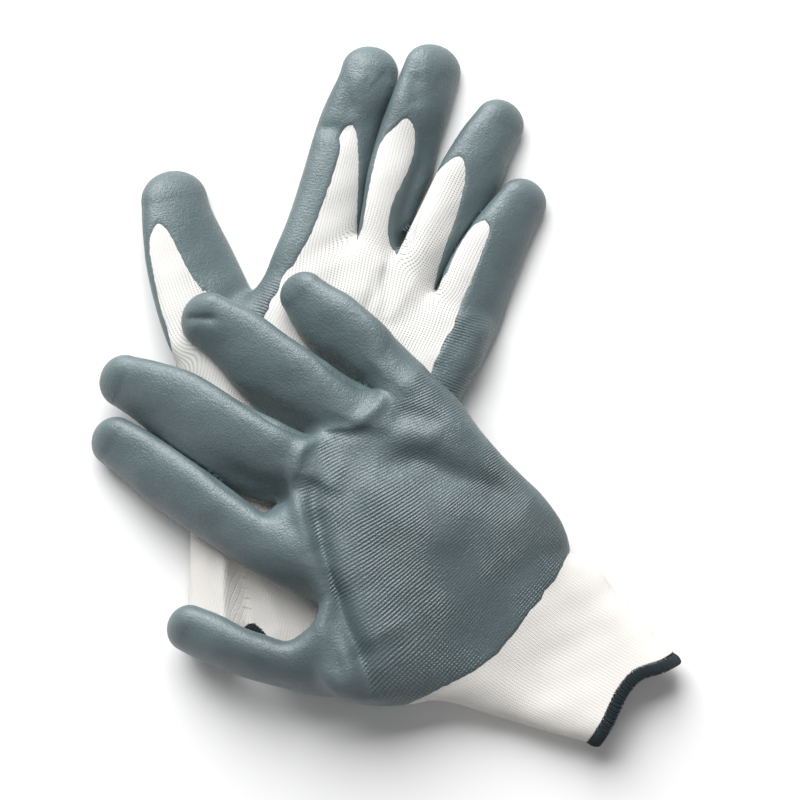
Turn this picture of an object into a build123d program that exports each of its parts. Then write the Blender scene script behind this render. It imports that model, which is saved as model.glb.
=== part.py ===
"""A pair of knit work gloves with a dipped nitrile palm, lying crossed on a table.

The right glove lies palm down, fingers along +Y. The left glove lies across it, palm up,
fingers along -X, and droops to the table past its edges.
Each glove is a hollow knit liner (a palm piece and five digits), a nitrile skin over the
palm side of every piece, a ribbed cuff, elastic yarns laid inside the cuff, and an
overlocked hem around the cuff's edge. Every digit is a piece of its own, so that it can fold
at its root. Millimetres, +Z up, the table at z = 0.
"""
import math
import os
from dataclasses import dataclass

from build123d import *

# Driving dimensions
KNIT = 1.0           # thickness of the liner's knit
SKIN = 0.6           # thickness of the nitrile on it
SPLIT = 0.5          # slit between two pieces that fold against each other
BOND = 0.03          # glue line between knit and nitrile
PRESS = 0.8          # how far a section that lies on the table is flattened by it
CAP = (0.45, 0.75, 0.93, 1.0)    # where a rounded tip has its sections, in tip radii
CAP_END = 0.14       # size of the last section of a tip, as a share of the full one
HEM_LENGTH = 6.5     # how far the overlock stitches reach up the cuff
HEM_BULK = 0.7       # how far they stand proud of the knit on both faces
HEM_TURN = 1.2       # how far they stand past the knit's edge
YARN = 0.6           # elastic yarn
YARN_COUNT = 8       # courses of elastic yarn in each cuff
WINDOW_WIDTH = 0.5   # bare knit on the back of a digit, as a share of its width
WINDOW_LENGTH = 0.58 # and of its length from the hinge
SEAM_TURN = 12       # spare length cut off where the cuff is knitted onto the palm
FAR = 400            # larger than the pair, for half-spaces


@dataclass
class Section:
    """One oval cross-section of a tube: its centre, its width and its height."""
    x: float
    y: float
    z: float
    width: float
    height: float

    @property
    def centre(self):
        return Vector(self.x, self.y, self.z)


def lying(x, y, width, height):
    """A section that the table presses flat by PRESS."""
    return Section(x, y, height / 2 - PRESS, width, height)


# Right glove, palm down. A digit's first section is inside the palm and its second is its
# hinge line; the last is the centre of its rounded tip.
RIGHT_DIGITS = {
    "thumb": [lying(-55, 5, 38, 17), lying(-72, 45, 37, 17), lying(-80.6, 61, 32, 16.5),
              lying(-83.4, 78, 28, 16)],
    "index": [lying(-26, 27, 25, 17), lying(-26, 59, 26.5, 16.5), lying(-21, 81, 24.5, 16),
              lying(-15.8, 103, 22.8, 15.5), lying(-8.4, 127.6, 23, 15)],
    "middle": [lying(-3, 27, 20, 17), lying(0, 64, 16, 16), lying(6, 81, 19.5, 16),
               lying(11.6, 101, 22, 15.5), lying(19, 129.2, 24.5, 15)],
    "ring": [lying(5, 19, 22, 17), lying(17.6, 55.2, 16, 16), lying(28.9, 77.2, 19.4, 15.5),
             lying(39.8, 99.2, 20, 15), lying(46.4, 109.6, 19.4, 14.5)],
    "little": [lying(17, 11, 22, 16), lying(35.6, 38.6, 20.5, 15.5), lying(47.2, 61.6, 20, 15),
               lying(55.2, 78.4, 19, 14)],
}
RIGHT_PALM = [lying(-37, -60, 78, 13), lying(-33, -33, 88, 18), lying(-26, -3, 106, 20),
              lying(-15, 23, 102, 19), lying(-8, 43, 76, 17)]
RIGHT_CUFF = [lying(-43, -101, 74, 12), lying(-40.2, -81, 76, 12.5), RIGHT_PALM[0]]

# Left glove, palm up, resting on the right one and drooping to the table on both sides.
LEFT_DIGITS = {
    "thumb": [Section(-15, -101, 21, 30, 19), Section(-41, -105, 22.5, 18.5, 19),
              Section(-59, -99, 22.5, 18, 18), Section(-77.2, -93, 19.5, 19, 17)],
    "index": [Section(-25, -71, 29, 24, 16), Section(-49.8, -57, 27.2, 22, 15.5),
              Section(-73, -42, 22.5, 23, 15), Section(-91, -28, 16.5, 22, 14.5),
              Section(-105.8, -17.2, 12.5, 20.5, 14)],
    "middle": [Section(-15, -43, 31, 25, 16), Section(-37, -28, 30.5, 25, 16),
               Section(-55, -18.8, 29, 25.5, 16), Section(-77, -6.6, 25, 24.5, 15.5),
               Section(-93, 2.4, 20, 23, 15), Section(-102, 7, 17, 21.5, 14.5)],
    "ring": [Section(7, -23, 31, 24, 16), Section(-15, -5.2, 31, 23.5, 16),
             Section(-33, 3.8, 30, 25, 16), Section(-51, 17.6, 28.2, 24, 15.5),
             Section(-70.4, 32.4, 25.4, 21.5, 14.5)],
    "little": [Section(25, -8, 30, 22, 15.5), Section(4.2, 10.4, 30.2, 22.5, 15.5),
               Section(-12.6, 24, 29.2, 23, 15), Section(-24, 34.4, 28.2, 21.5, 14.5),
               Section(-31.8, 40.8, 27.4, 19.5, 14)],
}
LEFT_PALM = [Section(55, -91.4, 12, 78, 15), Section(45, -81, 17.5, 88, 17),
             Section(28, -66, 26, 96, 20), Section(7, -44, 30.6, 102, 20),
             Section(-13, -28, 30.6, 90, 17)]
LEFT_CUFF = [Section(98.4, -121, 9, 52, 19.6), Section(73, -103.6, 10, 64, 17), LEFT_PALM[0]]


def rounded(sections):
    """The sections again, with those of a rounded tip past the last one."""
    last, before = sections[-1], sections[-2]
    onward = (last.centre - before.centre).normalized()
    tip = []
    for reach in CAP:
        share = max(CAP_END, math.sqrt(1 - reach * reach))
        at = last.centre + onward * (reach * last.width / 2)
        tip.append(Section(at.X, at.Y, at.Z, last.width * share, last.height * share))
    return sections + tip


def onward_at(sections, i):
    """The direction of the tube's path at section i."""
    ahead = sections[min(i + 1, len(sections) - 1)].centre
    behind = sections[max(i - 1, 0)].centre
    return (ahead - behind).normalized()


def oval(sections, i, grow):
    """Section i's oval face, square to the path, grown by that much all round."""
    onward = onward_at(sections, i)
    across = onward.cross(Vector(0, 0, 1)).normalized()
    s = sections[i]
    plane = Plane(origin=s.centre, x_dir=across, z_dir=onward)
    wide, high = s.width / 2 + grow, s.height / 2 + grow
    return plane * Ellipse(max(wide, 0.3), max(high, 0.3))


def tube(sections, grow=0.0, floor=0.0):
    """The solid tube through the sections, flattened where it would go below floor."""
    body = loft([oval(sections, i, grow) for i in range(len(sections))], ruled=True)
    above = Pos(0, 0, floor + FAR / 2) * Box(FAR, FAR, FAR)
    return body & above


def beyond(section, onward, offset=0.0):
    """The half-space on the onward side of a vertical plane through a section's centre."""
    level = Vector(onward.X, onward.Y, 0).normalized()
    middle = section.centre + level * (offset + FAR / 2)
    plane = Plane(origin=middle, x_dir=level, z_dir=(0, 0, 1))
    return plane * Box(FAR, FAR, FAR)


def moved(section, shift):
    """The same section somewhere else."""
    at = section.centre + shift
    return Section(at.X, at.Y, at.Z, section.width, section.height)


def extended(sections, first=0.0, last=0.0):
    """The sections with a straight length added at one end or both."""
    out = list(sections)
    if last:
        out.append(moved(out[-1], onward_at(sections, len(sections) - 1) * last))
    if first:
        out.insert(0, moved(out[0], onward_at(sections, 0) * -first))
    return out


class Layers:
    """A tube's three surfaces: outside of the nitrile, outside of the knit, and the hollow."""

    def __init__(self, sections):
        self.skin = tube(sections, SKIN + BOND, 0.0)
        self.bond = tube(sections, BOND, SKIN - BOND)
        self.knit = tube(sections, 0.0, SKIN)
        self.hollow = tube(sections, -KNIT, SKIN + KNIT)

    def cut(self, space):
        """The four surfaces, kept only inside the space."""
        kept = Layers.__new__(Layers)
        kept.skin, kept.bond = self.skin & space, self.bond & space
        kept.knit, kept.hollow = self.knit & space, self.hollow & space
        return kept


def bare_window(sections, palm_up):
    """The prism over the back of a digit that has no nitrile, from its hinge onwards."""
    hinge, tip = sections[1].centre, sections[-1].centre
    run = tip - hinge
    level = Vector(run.X, run.Y, 0)
    length = level.length * WINDOW_LENGTH
    width = sections[1].width * WINDOW_WIDTH
    start = hinge - level.normalized() * width
    middle = start + level.normalized() * ((length + width) / 2)
    height = FAR / 4
    up = -height / 2 if palm_up else height / 2
    plane = Plane(origin=middle + Vector(0, 0, up), x_dir=level.normalized(), z_dir=(0, 0, 1))
    prism = plane * Box(length + width, width, height)
    return fillet(prism.edges().filter_by(Axis.Z), width / 2 - 0.1)


def digit_pieces(sections, palm_up):
    """A digit's free part beyond its hinge line, as (knit, nitrile), and its root's layers."""
    whole = Layers(rounded(sections))
    onward = onward_at(sections, 1)
    free = whole.cut(beyond(sections[1], onward, SPLIT / 2))
    root = Layers(sections[:2] + [sections[2]]).cut(beyond(sections[1], -onward, SPLIT / 2))
    knit = free.knit - free.hollow
    nitrile = free.skin - free.bond - bare_window(sections, palm_up)
    return knit, nitrile, root


def palm_pieces(sections, wrist_way, roots, palm_up):
    """The palm's knit, open at the wrist and into every digit, and its nitrile skin."""
    inside = beyond(sections[0], wrist_way, 0.0)
    body = Layers(extended(sections, first=SEAM_TURN)).cut(inside)
    skin, bond, knit = body.skin, body.bond, body.knit
    hollow = Layers(extended(sections, first=SEAM_TURN + 5)).hollow
    for root in roots:
        skin, bond = skin + root.skin, bond + root.bond
        knit, hollow = knit + root.knit, hollow + root.hollow
    palm_side = palm_side_space(sections, palm_up)
    return knit - hollow, (skin - bond) & palm_side


def palm_side_space(sections, palm_up):
    """Where a palm has nitrile: below the middle of its thickness, or above if palm up."""
    low, high = sections[0].centre, sections[-1].centre
    run = high - low
    level = Vector(run.X, run.Y, 0).normalized()
    middle = sections[2].centre
    slope = Vector(level.X, level.Y, 0 if not palm_up else run.Z / math.hypot(run.X, run.Y))
    normal = slope.cross(slope.cross(Vector(0, 0, 1))).normalized()
    side = -1 if normal.Z * (1 if palm_up else -1) < 0 else 1
    plane = Plane(origin=middle + normal * (side * FAR / 2), x_dir=slope, z_dir=normal)
    return plane * Box(FAR, FAR, FAR)


def cuff_pieces(sections, wrist_way):
    """The ribbed cuff, its elastic yarns and the overlocked hem around its edge."""
    sections = extended(sections, last=SEAM_TURN)
    inside = beyond(sections[-2], -wrist_way, BOND)
    wall = tube(sections, 0.0, SKIN) & inside
    wall -= tube(extended(sections, 5, 5), -KNIT, SKIN + KNIT)
    onward = onward_at(sections, 0)
    edge = sections[0]
    reach = extended(sections, first=HEM_TURN)
    bulk = tube(reach, HEM_BULK, 0.0) - beyond(edge, onward, HEM_LENGTH)
    hole = tube(extended(sections, 10, 10), -KNIT - HEM_BULK, SKIN + KNIT + HEM_BULK)
    hem = bulk - hole - wall
    lining = (tube(sections, -KNIT - BOND, SKIN + KNIT + BOND)
              - tube(extended(sections, 5, 5), -KNIT - YARN, SKIN + KNIT + YARN))
    length = (sections[-2].centre - edge.centre).length
    pitch = (length - 2 * HEM_LENGTH) / YARN_COUNT
    yarns = []
    for k in range(YARN_COUNT):
        start = HEM_LENGTH + pitch * (k + 0.5)
        band = beyond(edge, onward, start) - beyond(edge, onward, start + YARN)
        yarns += (lining & band).solids()
    return wall, Compound(yarns), hem


def glove(side, digits, palm, cuff, palm_up):
    """Every node of one glove, by name."""
    nodes, roots = {}, []
    for name, sections in digits.items():
        knit, nitrile, root = digit_pieces(sections, palm_up)
        nodes[f"{side}_{name}_liner"] = knit
        nodes[f"{side}_{name}_coating"] = nitrile
        roots.append(root)
    wrist_way = (palm[1].centre - cuff[-2].centre).normalized()
    liner, coating = palm_pieces(palm, wrist_way, roots, palm_up)
    nodes[f"{side}_palm_liner"], nodes[f"{side}_palm_coating"] = liner, coating
    wall, yarns, hem = cuff_pieces(cuff, wrist_way)
    nodes[f"{side}_cuff"] = wall
    nodes[f"{side}_cuff_elastic"] = yarns
    nodes[f"{side}_cuff_hem"] = hem
    return nodes


def build():
    """Every node, with the origin under the middle of the pair."""
    nodes = glove("right", RIGHT_DIGITS, RIGHT_PALM, RIGHT_CUFF, palm_up=False)
    nodes.update(glove("left", LEFT_DIGITS, LEFT_PALM, LEFT_CUFF, palm_up=True))
    middle = Compound(list(nodes.values())).bounding_box().center()
    shift = Pos(-middle.X, -middle.Y, 0)
    return {name: shift * shape for name, shape in nodes.items()}


if __name__ == "__main__":
    os.makedirs("parts", exist_ok=True)
    for node, shape in build().items():
        export_step(shape, f"parts/{node}.step")
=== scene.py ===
"""The looks of a crossed pair of dipped work gloves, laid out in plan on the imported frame.

Each glove is the union of a pad (its palm and cuff) and five flattened tubes (its digits).
The union becomes one mesh, which is sculpted, split into the palm and the digits, and
covered by its nitrile. Then the cuff is opened, lined, hemmed and given its elastic yarns.
Lengths are millimetres along the frame's axes until a mesh is made, and metres from there.
"""

import math

import bpy
import numpy as np
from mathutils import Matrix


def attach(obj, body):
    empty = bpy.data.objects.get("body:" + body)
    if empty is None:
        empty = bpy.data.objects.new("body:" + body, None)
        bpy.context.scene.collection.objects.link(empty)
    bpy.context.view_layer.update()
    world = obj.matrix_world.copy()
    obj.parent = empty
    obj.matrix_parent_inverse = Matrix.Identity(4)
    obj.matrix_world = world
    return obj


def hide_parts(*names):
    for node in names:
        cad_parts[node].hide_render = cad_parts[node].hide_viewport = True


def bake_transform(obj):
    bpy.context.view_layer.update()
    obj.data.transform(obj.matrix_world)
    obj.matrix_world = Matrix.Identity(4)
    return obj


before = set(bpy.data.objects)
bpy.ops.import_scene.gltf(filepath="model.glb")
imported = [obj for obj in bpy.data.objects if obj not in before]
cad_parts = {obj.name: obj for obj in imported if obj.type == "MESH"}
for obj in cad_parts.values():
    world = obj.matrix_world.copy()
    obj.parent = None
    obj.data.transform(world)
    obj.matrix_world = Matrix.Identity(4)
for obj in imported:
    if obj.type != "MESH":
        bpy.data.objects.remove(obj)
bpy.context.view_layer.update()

STEP = 0.8  # grid of the glove meshes
SKIN = 0.5  # how far the nitrile stands proud of the knit
RIM = 1.5  # width of the nitrile's rounded edge
GAP = 0.7  # half the slit kept between neighbouring digits
WEB = 5.0  # how softly a digit grows out of the palm
WALL = 1.0  # thickness of the knit
BOTTOM = 0.55  # height of the knit's flat underside
TABLE = 0.02  # the lowest that any piece may reach
TIP = 0.9  # a digit's rounded end, as a share of half its last width
OUTSIDE = 40.0  # the distance stated for places far outside a tube
LINED = 70.0  # how far the cuff's inner face is modelled from the hem
HEM_HALF = 2.5  # half the hem's width along the cuff
HEM_THICK = 1.15  # half its thickness
STITCH = 0.95  # pitch of the overlock thread
TURN = 16  # points along each stitch
THREAD = 0.26  # radius of the overlock thread
YARN = 0.35  # radius of the cuff's elastic yarns
YARN_PITCH = 4.0  # from one elastic yarn to the next
PALM_HOLD = 20  # how much the palm's knit outweighs a digit's where they meet
# How steeply each digit leans to one side, up on its left if positive.
RIGHT_LEAN = {"thumb": 0.38, "index": 0.24, "middle": 0.46, "ring": 0.38, "little": 0.38}
LEFT_LEAN = {"thumb": -0.5, "index": -0.5, "middle": -0.55, "ring": -0.55, "little": -0.5}
SHIFT = np.array([0.92, 1.03])  # from the tables' origin to the frame's, in plan
# How far each glove may reach past its tubes' paths in plan, on the low and the high sides.
MARGINS = {"right": (62, 26), "left": (26, 50)}

# Stations of each tube, from the palm outwards: x, y, z, width, height. A palm's run from its
# hem to its fingers, and end with the width of the rounding along its edge.
RIGHT = {
    "thumb": [(-56, 4, 9, 40, 18), (-64, 21, 9, 39, 18), (-71, 37.5, 8.6, 37.4, 17.5),
              (-77, 54.5, 8.2, 34, 17), (-81.5, 70, 8, 28, 16.5), (-83.2, 79, 7.6, 25.6, 15.4)],
    "index": [(-31.5, 34, 8.4, 38, 17.5), (-27.6, 51, 8.2, 34, 17), (-23.4, 67, 8, 29.4, 16.6),
              (-19, 85.5, 7.8, 26.2, 16), (-13, 108, 7.2, 24.5, 14.5), (-6.5, 124, 7.8, 22.8, 15.6),
              (-4.8, 130.4, 7.2, 21.8, 14.4)],
    "middle": [(-6.5, 43, 8.6, 20, 17.5), (-1, 60, 8.2, 19, 17), (2, 70, 8.2, 21, 16.6),
               (7, 88, 8, 25, 16.4), (11, 104, 7.6, 24.2, 15.6), (15.5, 117, 8, 23.5, 16),
               (20.2, 131, 7.4, 22.2, 14.8)],
    "ring": [(6.5, 36, 8.6, 22, 17.4), (13, 47, 8.2, 21.5, 17), (18.5, 58.5, 8.2, 21.5, 16.6),
             (27, 72.5, 8, 24.4, 16.2), (34, 86, 7.8, 25, 16), (41, 100, 7.6, 22.5, 15.6),
             (47, 110, 7, 19.5, 14)],
    "little": [(24.5, 18, 8.2, 30, 17), (33, 32, 8, 28.5, 16.6), (38.5, 46.5, 7.8, 27.6, 16),
               (43.5, 57.5, 7.6, 25.6, 15.6), (49.5, 68, 7.4, 22.4, 15), (56.4, 78.6, 7, 18.8, 13.6)],
    "palm": [(-45, -124, 6.4, 76, 13, 11), (-42.4, -99, 6.4, 76, 13, 11), (-39, -81, 6.8, 79, 14, 13),
             (-36, -64, 7.4, 83, 15.5, 15), (-30.5, -33, 8.8, 95, 18.5, 17), (-22, -2, 9.6, 110, 20, 17),
             (-14, 20, 9.4, 105, 19.6, 13), (-6.5, 37, 8.8, 88, 18, 9), (-2, 60, 8.4, 70, 17, 8)],
}
# Each palm's and cuff's edge in plan, and the point that its courses of knitting fan out from.
RIGHT_OUTLINE = [(-82, 10), (-75, 24), (-64, 35), (-51, 42.5), (-40, 50), (-27, 57), (-10, 62), (-2, 61),
                 (6, 57), (13, 49), (21, 40.5), (31, 37), (38, 34), (43, 28), (42, 21), (39.2, 13),
                 (35.2, 7), (31.2, -1), (25, -17), (17, -40), (11, -65), (7, -90), (3, -108), (1, -122),
                 (-12, -134), (-40, -136), (-70, -134), (-82, -122), (-80, -105), (-77.8, -82),
                 (-76.8, -57), (-77, -40), (-79, -20), (-81.5, -4)]
RIGHT_FAN = (3827, -1112)
LEFT = {
    "thumb": [(3, -92, 25, 56, 20), (-14, -101, 23.4, 40, 20), (-26, -105.3, 22.6, 28, 19),
              (-38, -106.3, 22.4, 18.6, 18.5), (-49, -103.5, 22.4, 18.4, 18), (-58, -100.5, 22, 18.4, 18),
              (-68, -96, 20.4, 19.5, 17.5), (-77, -92, 18.4, 18.5, 16.5)],
    "index": [(-22, -68, 29, 30, 18), (-32, -65.5, 28.6, 24, 18), (-42.5, -62, 28, 20.5, 17.5),
              (-53, -55.5, 27, 21.5, 17), (-66.5, -46, 24, 22.8, 16.5), (-83, -34.5, 18.8, 23.4, 16),
              (-97, -24, 14.2, 21.4, 15.5), (-107, -17.5, 11, 19.5, 15)],
    "middle": [(-22, -34, 31, 26, 18.5), (-33, -29, 31, 28, 18.5), (-47, -24.4, 30, 32, 18),
               (-64.5, -16, 27.6, 32.5, 17.5), (-80.5, -4.5, 23.4, 30, 17), (-92.5, 2, 19.4, 25, 16),
               (-103, 6.5, 16, 20.5, 15)],
    "ring": [(-5, -10, 31.4, 25, 18.5), (-19, -5, 31.4, 28, 18.5), (-31, 1.2, 31, 31, 18),
             (-45, 11.5, 30, 29.5, 17.5), (-57.5, 23, 28.6, 25.5, 16.5), (-69.5, 31, 27, 21.5, 15)],
    "little": [(7.4, 5.2, 29.4, 20.6, 18), (-2.4, 13, 30.4, 25, 17.5), (-9.5, 19.5, 30.6, 27, 17),
               (-21, 30, 29.6, 25.5, 16.5), (-27, 36, 29, 21.5, 15.5), (-31.5, 41, 28.4, 18, 14.5)],
    "palm": [(125, -137, 11, 50, 17, 12), (103, -124, 10.2, 51, 16, 12), (79, -110, 9.6, 60, 15, 13),
             (63, -101, 10.6, 72, 15.5, 15), (47, -88, 16, 86, 17, 18), (33, -76, 22, 96, 19.5, 20),
             (18, -61, 28, 98, 21, 19), (0, -46, 31, 96, 21.5, 15), (-14, -36, 31.4, 88, 20, 11),
             (-30, -26, 31, 70, 18.6, 9), (-45, -15, 31, 60, 18, 8)],
}
LEFT_OUTLINE = [(3, 20), (11, 15), (21.8, 6.8), (31, -2.2), (39, -13.6), (47.2, -23), (55.2, -31),
                (61.2, -37), (66.4, -43), (71, -49.6), (73.8, -56), (75.5, -61.5), (81.5, -64.2),
                (87.6, -69.4), (93.2, -77), (99.2, -83.4), (105.2, -89.8), (111.2, -97), (117, -103),
                (126, -113), (134, -128), (126, -146), (108, -148), (92, -141.6), (79.2, -137),
                (67.2, -134), (55.2, -130.4), (43.2, -126.8), (31.2, -122.8), (21, -120.8),
                (12, -122.2), (2, -122.6), (-9, -121.8), (-19, -118.5), (-25, -110), (-24, -98),
                (-23.5, -86), (-27.5, -77), (-35, -69), (-43, -61), (-46.5, -53), (-44, -45),
                (-38, -39), (-36, -28), (-33, -20), (-26, -14.5), (-17, -11), (-8, -8), (-1.5, -3),
                (0, 5), (-1, 14)]
LEFT_FAN = (188.8, 74.3)
DIGITS = ("thumb", "index", "middle", "ring", "little")

# Bare knit on the back of the right glove, in plan.
RIGHT_BARE = {
    "thumb": [(-60, -20), (-80, 8), (-85.5, 27), (-89, 39), (-92, 54), (-92.5, 63), (-89.5, 69.5),
              (-86, 67), (-81.5, 59), (-77, 50), (-71.5, 42), (-64, 28), (-50, 6)],
    "index": [(-44, 34), (-37.5, 48), (-33, 57), (-27.5, 67), (-23, 79), (-19.5, 89), (-17, 98),
              (-16.5, 105), (-13, 109), (-10.5, 107), (-9.5, 97), (-9.5, 87), (-10, 75), (-10, 61),
              (-10, 40)],
    "middle": [(-10, 40), (-10, 61), (-7.5, 69), (-6, 79), (-3.5, 91), (-1.5, 99), (1.5, 104.5),
               (6.5, 109), (10, 111.5), (12.8, 107), (12.8, 99), (10.5, 91), (6.5, 83), (4, 77),
               (2.5, 69), (3, 61), (6, 56), (8, 36)],
    "ring": [(2, 36), (6, 56), (9, 63), (12.5, 71), (16, 79), (19, 85), (23, 91), (27, 94.5),
             (31, 96.2), (33, 93), (33, 87), (31, 77), (28.5, 69), (25.5, 61), (23, 53), (20.5, 43),
             (16, 26)],
    "little": [(14, 24), (21, 42), (26, 50), (29, 57), (33, 64), (37, 69), (41, 70.4), (43, 67),
               (41, 61), (38, 53), (35, 45), (32, 39), (29, 31), (25, 23), (22, 16), (19, 9.5),
               (14, -10), (-10, -20)],
    "back": [(-76, 14), (-71.5, 42), (-67, 34), (-58, 27), (-50, 27), (-46.5, 33), (-42, 41),
             (-36, 52), (-10, 61), (6, 56), (21, 43), (29, 31), (25, 23), (21, 14), (17, 2),
             (12, -20), (8, -50), (10, -130), (-110, -130), (-84, -40)],
}
# Where the nitrile of each palm ends, in plan: points along its edge, the fingers on their right.
LEFT_EDGE = [(82, -50), (76, -60), (73, -65), (69, -73), (65, -77), (63, -81), (59, -85), (55, -91),
             (51, -96), (46, -102), (41, -106), (35, -110), (29, -113), (23, -116), (15, -120),
             (11, -122), (0, -128)]
RIGHT_EDGE = [(30, -50), (5, -58), (-20, -62), (-45, -60), (-70, -54), (-90, -46)]
# The cuffs' edges in plan, the fingers on their right.
LEFT_HEM = [(124, -98), (117, -104), (111.5, -106.8), (105, -108.6), (101.5, -110), (98, -113.5),
            (94.5, -118.5), (92, -124), (89.5, -129.5), (86.5, -134.5), (84, -138.5), (79, -142),
            (72, -148)]
RIGHT_HEM = [(6, -113), (-6, -112), (-20, -109.5), (-36, -105), (-45, -100), (-49, -94.2), (-52, -91.8),
             (-55.4, -94.4), (-60, -98.6), (-67, -98), (-79.6, -93), (-92, -90)]
# Where each digit starts to bend away from its palm, and where it has turned fully.
BEND = {
    "right_thumb": ((-73.5, 36), (-79, 53)), "right_index": ((-24.5, 64.2), (-21, 80)),
    "right_middle": ((-0.3, 58.5), (4, 74)), "right_ring": ((14.8, 51.8), (23, 66)),
    "right_little": ((35, 33.4), (41.5, 48)), "left_thumb": ((-36, -105), (-50, -104)),
    "left_index": ((-51.5, -57), (-64, -47.5)), "left_middle": ((-37, -28), (-52, -22.5)),
    "left_ring": ((-21.5, -3.5), (-35, 5)), "left_little": ((4.9, 9), (-8, 17.5)),
}
# Folds in the surface seen from above: path in plan, width, height (a valley's is negative).
LEFT_FOLDS = [
    ([(-6, 20), (-3, 15), (0, 10), (0.8, 3.8), (-0.8, -1.8), (-4.8, -6.2), (-10.8, -10.6), (-19.2, -12.2),
      (-26.4, -16.2), (-31.6, -20.6), (-34, -26.2), (-34.6, -34), (-32.6, -45), (-28.6, -56),
      (-25, -67), (-23.5, -77), (-25, -88)], 3.0, 1.8),
    ([(-27, -44), (-25, -56), (-21.4, -70), (-18, -80), (-13.4, -92), (-8, -103), (-3, -119)],
     4.4, -4.6),
    ([(-26, -30), (-27, -42), (-24.5, -54)], 3.4, -1.4),
    ([(-22, -82), (-20, -92), (-18.4, -102), (-16, -114)], 3.6, -1.6),
    ([(-2, -6), (4, 0.5), (10, 4), (17.2, 5.4), (26, 1)], 5.0, 0.8),
    ([(3, -8), (13, -7), (25, -11)], 4.0, -1.2),
    ([(0, -16), (12, -15), (24, -17)], 6.0, 1.2),
    ([(-2, -25), (15.2, -26), (31, -32), (44, -37), (57, -44)], 7.0, -3.8),
    ([(23.2, -3), (39.2, -20), (55.2, -36.5), (67, -51)], 4.2, 1.2),
    ([(-14, -30), (7.2, -46), (33, -61)], 9.0, 1.5),
    ([(-79, 31.5), (-73, 31.3), (-64, 31)], 1.8, -1.2),
]
# The coat is smooth on the right of this path along the finger roots and the thumb's ridge.
LEFT_RIDGE = [(12, 40), (12, 12), (7, 1), (-4.8, -6.2), (-19, -12.2), (-31.6, -20.6),
              (-36, -34), (-32, -46), (-24.4, -67), (-22.8, -77), (-17, -92), (-8, -110), (-4, -130)]
RIGHT_FOLDS = [
    ([(-1, 58), (-1.6, 44), (-2, 30)], 2.4, 0.9),
    ([(3, 54), (2.2, 44), (1, 32)], 3.0, -0.7),
    ([(-27, 107), (-20, 107.5), (-13, 104)], 3, -1.2),
    ([(-13.4, 131), (-14.6, 124), (-12.8, 116.5), (-11.4, 111)], 3.0, -0.9),
    ([(-10, 130.4), (-5, 130.6), (-0.6, 128)], 4.4, 0.7),
    ([(14, 130), (12.8, 123), (13.8, 115)], 3.6, -0.8),
    ([(14.6, 131), (19, 131.4), (24.4, 129)], 4.4, 0.7),
    ([(-62, -56), (-63.5, -76), (-63, -102)], 2.6, 2.4),
    ([(-56, -60), (-54.5, -80), (-53, -106)], 4.6, -4.4),
    ([(-46, -74), (-44, -84), (-40, -98)], 3.5, 1.0),
]
# Troughs along the digits' sides, deepest at the crotches that they end at, stated like folds.
LEFT_TROUGHS = [
    ([(-27.5, 19), (-18.4, 12), (-13, 8.4), (-8.8, 6)], 3.4, -2.0),
    ([(-61.5, 5), (-48.4, -3), (-38.2, -8.6), (-29.4, -12)], 4.6, -2.4),
    ([(-74, -22), (-62, -29.5), (-52, -35), (-44, -38)], 6.0, -2.8),
]
RIGHT_TROUGHS = [
    ([(20, 112), (17, 98), (13.5, 85), (10, 72), (9, 64)], 4.4, -2.4),
]


def spline(rows, pitch=2.0):
    """A smooth path through the rows, sampled about every pitch millimetres."""
    rows = np.array(rows, float)
    ends = np.vstack([2 * rows[0] - rows[1], rows, 2 * rows[-1] - rows[-2]])
    out = []
    for i in range(1, len(ends) - 2):
        p0, p1, p2, p3 = ends[i - 1:i + 3]
        count = max(2, int(np.linalg.norm((p2 - p1)[:2]) / pitch))
        for t in np.arange(count) / count:
            out.append(0.5 * (2 * p1 + (p2 - p0) * t + (2 * p0 - 5 * p1 + 4 * p2 - p3) * t ** 2
                              + (3 * p1 - p0 - 3 * p2 + p3) * t ** 3))
    out.append(ends[-2])
    return np.array(out)


def nearest(xy, path):
    """For each point: the path's nearest segment, the share of the way along it, and the gap."""
    best = np.full(len(xy), np.inf)
    index, share = np.zeros(len(xy), int), np.zeros(len(xy))
    for i in range(len(path) - 1):
        run = path[i + 1] - path[i]
        t = np.clip((xy - path[i]) @ run / (run @ run), 0, 1)
        gap = np.sum((xy - path[i] - t[:, None] * run) ** 2, axis=1)
        closer = gap < best
        best[closer], index[closer], share[closer] = gap[closer], i, t[closer]
    return index, share, np.sqrt(best)


def side_of(xy, path):
    """Signed distance to an open path in plan, positive on its left."""
    path = np.array(path, float) + SHIFT
    index, _, gap = nearest(xy, path)
    run = path[index + 1] - path[index]
    off = xy - path[index]
    return gap * np.sign(run[:, 0] * off[:, 1] - run[:, 1] * off[:, 0])


def inside_of(xy, outline):
    """Signed distance to a closed outline in plan, positive inside."""
    ring = spline(outline[-1:] + outline + outline[:2], 1.5)
    first = np.argmin(np.sum((ring - outline[0]) ** 2, axis=1))
    last = np.argmin(np.sum((ring - outline[-1]) ** 2, axis=1)[first:]) + first
    ring = np.vstack([ring[first:last + 1], ring[first]]) + SHIFT
    gap = nearest(xy, ring)[2]
    odd = np.zeros(len(xy), bool)
    for (ax, ay), (bx, by) in zip(ring[:-1], ring[1:]):
        crosses = (ay > xy[:, 1]) != (by > xy[:, 1])
        with np.errstate(divide="ignore", invalid="ignore"):
            at = ax + (xy[:, 1] - ay) * (bx - ax) / (by - ay)
        odd ^= crosses & (xy[:, 0] < at)
    return np.where(odd, gap, -gap)


def smooth(x, low, high):
    """A soft step from 0 at low to 1 at high."""
    t = np.clip((x - low) / (high - low), 0, 1)
    return t * t * (3 - 2 * t)


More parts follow.
